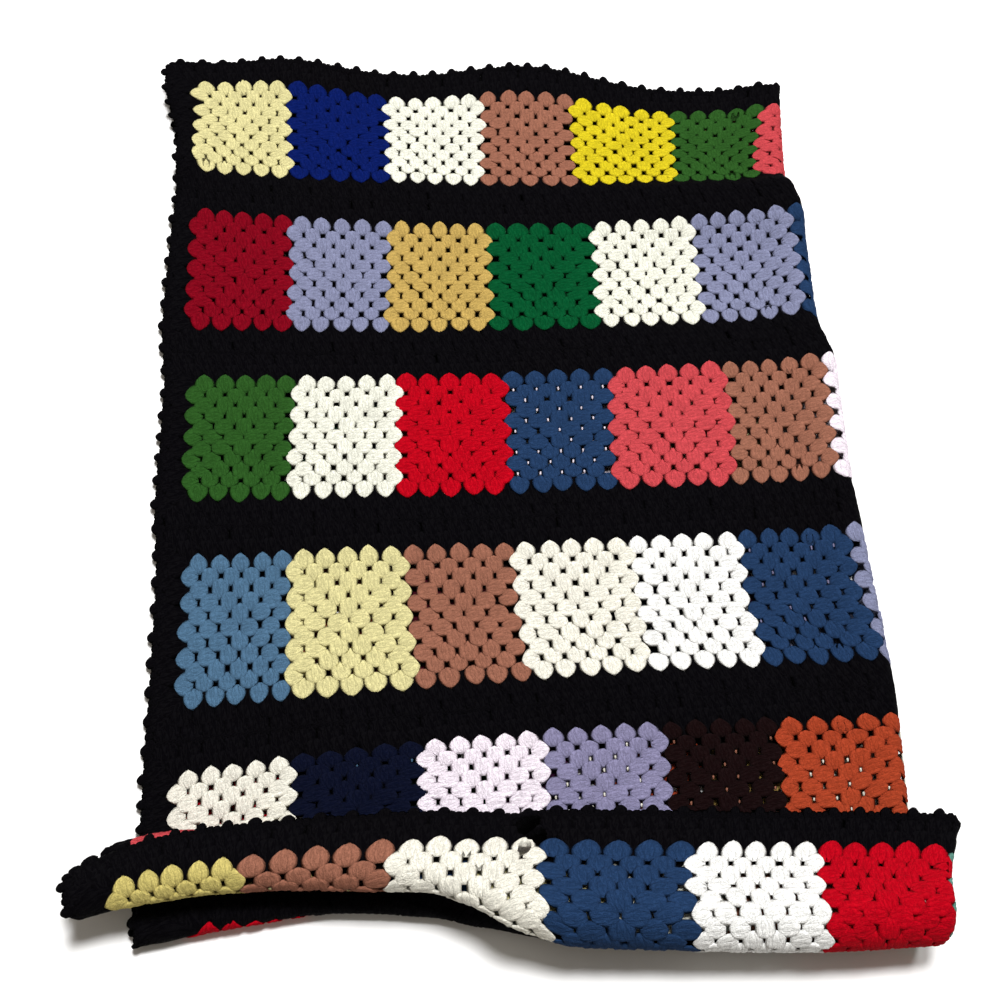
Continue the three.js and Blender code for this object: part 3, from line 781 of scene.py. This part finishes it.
def build(name, shells):
    """One mesh of all the shells given as u, v, pointing, template and yarn."""
    points, coords, faces, slots = [], [], [], []
    yarns = sorted({yarn for *_, yarn in shells})
    base = 0
    for kind in sorted({shell[3] for shell in shells}):
        some = [shell for shell in shells if shell[3] == kind]
        template_points, template_faces, template_coords = TEMPLATES[kind]
        points.append(laid_shells(template_points, some))
        coords.append(np.tile(np.array(template_coords), (len(some), 1)))
        for *_, yarn in some:
            faces += [tuple(i + base for i in face) for face in template_faces]
            slots += [yarns.index(yarn)] * len(template_faces)
            base += len(template_points)
    points, coords = (np.concatenate(points) - OFFSET) / 1000, np.concatenate(coords)
    points[:, 2] = np.maximum(points[:, 2], FLOOR_GAP)

    mesh = bpy.data.meshes.new(name)
    mesh.from_pydata(points.tolist(), [], faces)
    mesh.polygons.foreach_set("material_index", np.array(slots, np.int32))
    mesh.polygons.foreach_set("use_smooth", np.ones(len(faces), bool))
    uv = mesh.uv_layers.new(name="yarn")
    corners = np.zeros(len(mesh.loops), np.int32)
    mesh.loops.foreach_get("vertex_index", corners)
    uv.data.foreach_set("uv", coords[corners].astype(np.float32).ravel())
    mesh.validate()
    mesh.update()
    for yarn in yarns:
        mesh.materials.append(yarn_material(yarn))
    return add_object(name, mesh)


def add_object(name, data):
    made = bpy.data.objects.new(name, data)
    bpy.context.scene.collection.objects.link(made)
    return made


for k in range(STRIPS):
    piece = build(f"crochet_strip_{k + 1}", strip_shells(k))
    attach(piece, "root")
    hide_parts(f"strip_{k + 1}")

edging = build("crochet_picots", edging_shells())
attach(edging, "root")
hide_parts("picot_edging")

# ---- floor, light and camera, in metres ---------------------------------------------------------------
FLOOR_REACH = 9


def add_floor():
    """A plain white floor."""
    corners = [(x * FLOOR_REACH, y * FLOOR_REACH, 0) for x, y in ((-1, -1), (1, -1), (1, 1), (-1, 1))]
    mesh = bpy.data.meshes.new("floor")
    mesh.from_pydata(corners, [], [(0, 1, 2, 3)])
    mat = bpy.data.materials.new("floor")
    mat.use_nodes = True
    mat.node_tree.nodes["Principled BSDF"].inputs["Base Color"].default_value = (0.93, 0.93, 0.93, 1)
    mat.node_tree.nodes["Principled BSDF"].inputs["Roughness"].default_value = 0.9
    mesh.materials.append(mat)
    return add_object("floor", mesh)


def along_direction(direction):
    """The rotation of a light that shines in a direction."""
    return Vector(direction).to_track_quat("-Z", "Y").to_euler()


def area_light(name, place, target, size, power):
    """A round soft light."""
    data = bpy.data.lights.new(name, "AREA")
    data.shape, data.size, data.energy = "DISK", size, power
    light = add_object(name, data)
    light.location = place
    light.rotation_euler = along_direction(Vector(target) - Vector(place))


def far_light(name, direction, strength, angle):
    """A soft light with the same strength and direction everywhere."""
    data = bpy.data.lights.new(name, "SUN")
    data.energy, data.angle = strength, math.radians(angle)
    add_object(name, data).rotation_euler = along_direction(direction)


add_floor()
far_light("sky", (-0.8, -1.5, -3.0), 0.95, 10)
area_light("window", (0.29, 0.8, 2.9), (0, -0.1, 0), 0.7, 113)
area_light("ceiling", (-0.4, 0.2, 3.2), (0, 0, 0), 2.6, 6)

world = bpy.data.worlds.new("world")
bpy.context.scene.world = world
world.use_nodes = True
world.node_tree.nodes["Background"].inputs["Color"].default_value = (1, 0.88, 0.72, 1)
world.node_tree.nodes["Background"].inputs["Strength"].default_value = 0.16

# The camera is over the tables' zero, by the near end, and looks down towards the far end.
CAMERA_HEIGHT, CAMERA_PITCH = 1091.0, 70.4     # millimetres, and degrees down from level
view = bpy.data.cameras.new("camera")
view.lens, view.sensor_width = 36.0, 36.0
camera = add_object("camera", view)
camera.location = [c / 1000 for c in (np.array([0.0, 0.0, CAMERA_HEIGHT]) - OFFSET)]
camera.rotation_euler = (math.radians(90 - CAMERA_PITCH), 0, 0)
bpy.context.scene.camera = camera
bpy.context.scene.view_settings.view_transform = "Standard"
